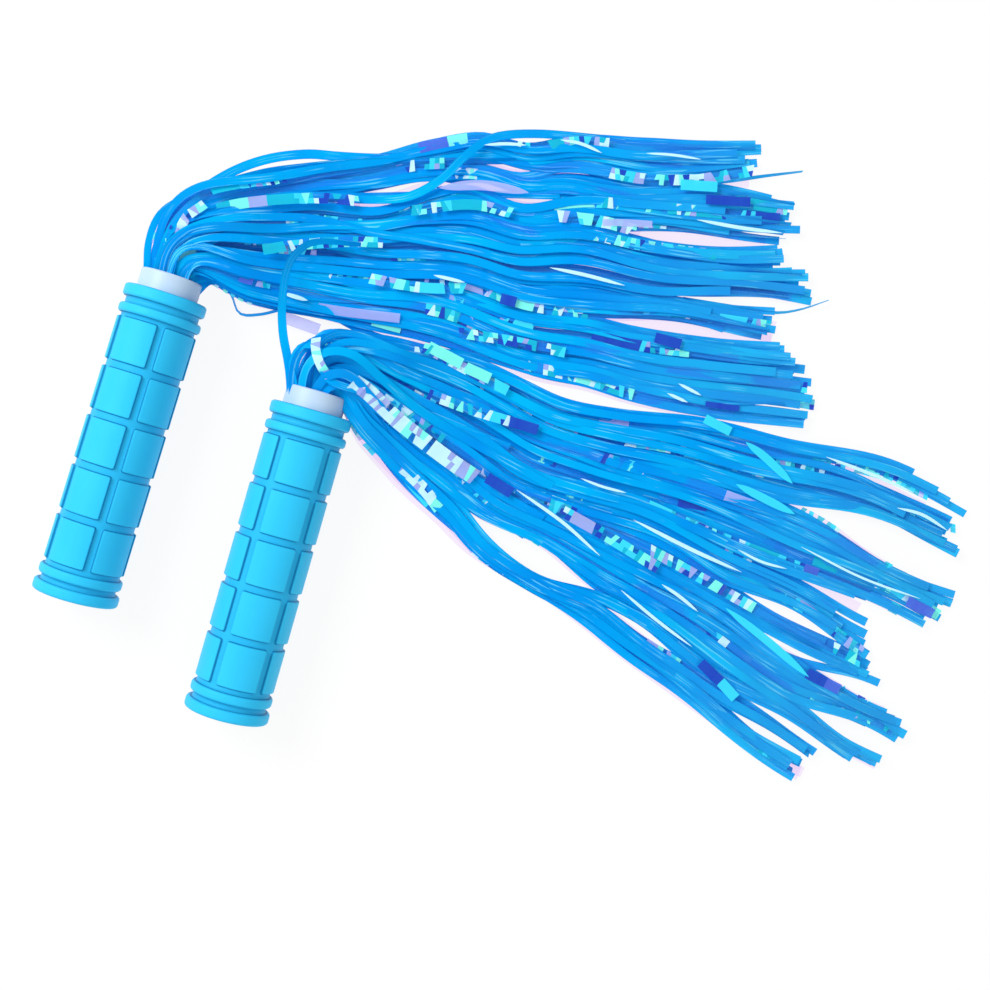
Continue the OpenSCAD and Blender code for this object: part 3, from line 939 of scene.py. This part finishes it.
def film_material():
    n = Nodes("iridescent_film")
    facet, run, strand = n.value("facet"), n.value("run"), n.value("strand")
    colour = n.ramp(facet, [(at, look) for at, look, _ in FILM_LOOKS], constant=True)
    covers = [(at, (share, share, share, 1)) for at, _, share in FILM_LOOKS]
    cover = n.ramp(facet, covers, constant=True)
    along, lane = n.math("MULTIPLY", run, 2.5), n.math("MULTIPLY", strand, 70.0)
    sheen = n.noise(1.0, 3.0, n.node("CombineXYZ", {0: along, 1: lane}))
    colour = n.mix(n.math("MULTIPLY", sheen, 0.2), colour, srgb(60, 206, 246))
    # The film's emission of its own colour is painted light that keeps its facets from going dark in shade; it is
    # no lamp.
    body = n.node("BsdfPrincipled", {
        "Base Color": colour,
        "Roughness": 0.16,
        "Specular IOR Level": 0.7,
        "Specular Tint": srgb(200, 245, 255),
        "Emission Color": colour,
        "Emission Strength": 0.12,
    })
    glow = n.node("BsdfTranslucent", {"Color": colour})
    solid = n.node("MixShader", {0: 0.3, 1: body, 2: glow})
    through = n.node("BsdfTransparent", {"Color": srgb(253, 246, 254)})
    shader = n.node("MixShader", {0: cover, 1: through, 2: solid})
    return n.finish(shader)


def moulded_material(name, colour, shade, roughness, scale):
    n = Nodes(name)
    cloud = n.noise(scale, 3.0, n.place())
    shader = n.node("BsdfPrincipled", {
        "Base Color": n.mix(cloud, colour, shade),
        "Roughness": roughness,
        "Specular IOR Level": 0.4,
        "Normal": n.bump(n.noise(scale * 20, 2.0, n.place()), 0.15, 0.0001),
    })
    return n.finish(shader)


def steel_material():
    n = Nodes("pin_steel")
    drawn = n.node("Mapping", {"Vector": n.place(), "Scale": (40.0, 4000.0, 4000.0)})
    lines = n.noise(1.0, 2.0, drawn.outputs[0])
    shader = n.node("BsdfPrincipled", {
        "Base Color": n.mix(lines, srgb(196, 198, 202), srgb(150, 152, 158)),
        "Metallic": 1.0,
        "Roughness": 0.32,
    })
    return n.finish(shader)


def give(obj, material):
    obj.data.materials.clear()
    obj.data.materials.append(material)


# --- The pair -----------------------------------------------------------------------------------
# Where a strand starts and ends to bend: in the cup (side, along from its low end), and along
# the fan before and after each joint. build_pom works out these points but does not use them.
CUP_BEND = ((0.0, -1.2), (3.3, 7.8))
LIFT_BEND = (-10, 14)
CURL_BEND = (-16, 16)


def cup_point(pom, x, y):
    return tuple(pom.in_grip(x, CUP_LOW + y, 0.0) * MM)


def fan_point(pom, r):
    return tuple(pom.in_fan(r, 0.0, 0.0) * MM)


def build_pom(pom, materials):
    n = pom.n
    grip = build_grip(pom)
    give(grip, materials["rubber"])
    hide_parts(f"grip_sleeve_{n}")
    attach(grip, f"handle_{n}")

    pieces = build_streamers(pom)
    for (family, part, lock), obj in pieces.items():
        slot = "ribbon_plastic" if family == "ribbons" else "iridescent_film"
        give(obj, materials[family])
        if part == "neck":
            if family == "ribbons":
                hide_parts(f"neck_bundle_{n}", f"gathered_strands_{n}")
            cup_point(pom, *CUP_BEND[0])
            cup_point(pom, *CUP_BEND[1])
            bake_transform(obj)
        elif part == "mid":
            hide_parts(f"{family}_root_{n}_{lock}")
            fan_point(pom, pom.lift_r + LIFT_BEND[0])
            fan_point(pom, pom.lift_r + LIFT_BEND[1])
            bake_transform(obj)
        else:
            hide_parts(f"{family}_tip_{n}_{lock}")
            fan_point(pom, pom.curl_r + CURL_BEND[0])
            fan_point(pom, pom.curl_r + CURL_BEND[1])
            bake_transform(obj)

    cad = frame["nodes"]
    for node, material, slot in (
        ("streamer_plug", "collar", "collar_plastic"), ("cross_pin", "steel", "pin_steel"),
        ("cable_tie", "nylon", "tie_nylon"), ("hot_melt", "glue", "hot_melt"),
    ):
        give(cad[f"{node}_{n}"], materials[material])


# --- Stage --------------------------------------------------------------------------------------
PICTURE_CENTRE = (139.7, 82.8)
CAMERA_HEIGHT = 516.0
CAMERA_TURN = 17.0
FLOOR_SIZE = 4.0
SKY = 0.62
# Lights: place in metres, size, watts
KEY = ((-0.55, 0.35, 0.75), 0.5, 8.5)
FILL = ((0.6, -0.5, 0.9), 0.8, 2.5)


def build_floor():
    half = FLOOR_SIZE / 2 / MM
    z = TABLE_Z - 0.05
    corners = [(-half, -half, z), (half, -half, z), (half, half, z), (-half, half, z)]
    floor = new_object("floor", corners, [(0, 1, 2, 3)])
    n = Nodes("floor")
    lit = n.node("BsdfDiffuse", {"Color": (0.9, 0.9, 0.9, 1)})
    glow = n.node("Emission", {"Color": (1, 1, 1, 1), "Strength": 1.0})
    floor.data.materials.append(n.finish(n.node("MixShader", {0: 0.9, 1: lit, 2: glow})))


def area_light(name, target, place, size, watts):
    data = bpy.data.lights.new(name, "AREA")
    data.size = size
    data.energy = watts
    light = bpy.data.objects.new(name, data)
    bpy.context.scene.collection.objects.link(light)
    light.location = place
    away = np.array(place) - np.array(target)
    light.rotation_euler = (math.atan2(math.hypot(away[0], away[1]), away[2]), 0,
                            math.atan2(away[1], away[0]) + math.pi / 2)


def build_stage():
    build_floor()
    scene = bpy.context.scene
    scene.view_settings.view_transform = "Standard"
    world = bpy.data.worlds.new("studio")
    scene.world = world
    world.use_nodes = True
    world.node_tree.nodes["Background"].inputs["Color"].default_value = (1, 1, 1, 1)
    world.node_tree.nodes["Background"].inputs["Strength"].default_value = SKY
    centre = (PICTURE_CENTRE[0] * MM, PICTURE_CENTRE[1] * MM, 0.0)
    area_light("key", centre, *KEY)
    area_light("fill", centre, *FILL)

    camera_data = bpy.data.cameras.new("camera")
    camera_data.lens = 50
    camera_data.sensor_width = 36
    camera = bpy.data.objects.new("camera", camera_data)
    scene.collection.objects.link(camera)
    camera.location = (centre[0], centre[1], CAMERA_HEIGHT * MM)
    camera.rotation_euler = (0, 0, math.radians(CAMERA_TURN))
    scene.camera = camera


def collar_material():
    return moulded_material("collar_plastic", srgb(188, 211, 233), srgb(172, 197, 222), 0.42, 90.0)


def nylon_material():
    return moulded_material("tie_nylon", srgb(240, 240, 234), srgb(226, 226, 218), 0.4, 120.0)


def glue_material():
    return moulded_material("hot_melt", srgb(236, 228, 204), srgb(220, 206, 172), 0.25, 140.0)


MATERIALS = {
    "rubber": rubber_material(),
    "ribbons": ribbon_material(),
    "film": film_material(),
    "collar": collar_material(),
    "steel": steel_material(),
    "nylon": nylon_material(),
    "glue": glue_material(),
}
for number in POMS:
    build_pom(Pom(number), MATERIALS)
build_stage()
